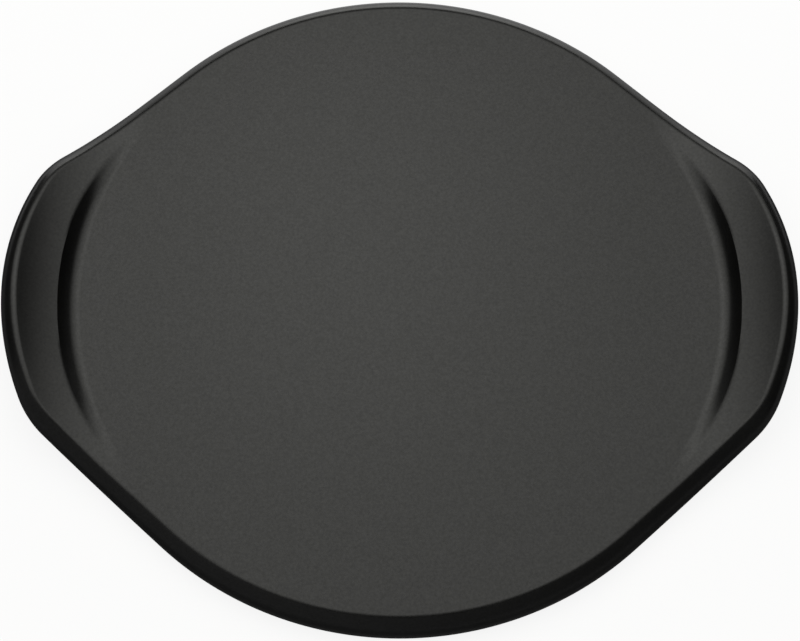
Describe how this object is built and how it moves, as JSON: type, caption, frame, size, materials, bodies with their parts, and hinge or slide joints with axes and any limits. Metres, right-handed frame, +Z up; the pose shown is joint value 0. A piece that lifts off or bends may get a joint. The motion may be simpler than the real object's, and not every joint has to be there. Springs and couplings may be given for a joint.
{
  "type": "grilling stone",
  "caption": "Round flat ceramic grilling stone whose side lugs sweep up as handles, with a dark satin glaze over a bare standing ring.",
  "frame": {"origin": "on the standing surface, under the middle of the round plate", "axes": "+X from the middle to the right lug, +Y to the back of the plate, +Z up out of the cooking surface"},
  "size_m": [0.42, 0.365, 0.038],
  "materials": {
    "bare_stoneware": "matt fired stoneware, unglazed",
    "charcoal_glaze": "satin charcoal glaze"
  },
  "bodies": {
    "root": {"stone_body": "bare_stoneware", "glaze_coat": "charcoal_glaze"}
  },
  "joints": []
}
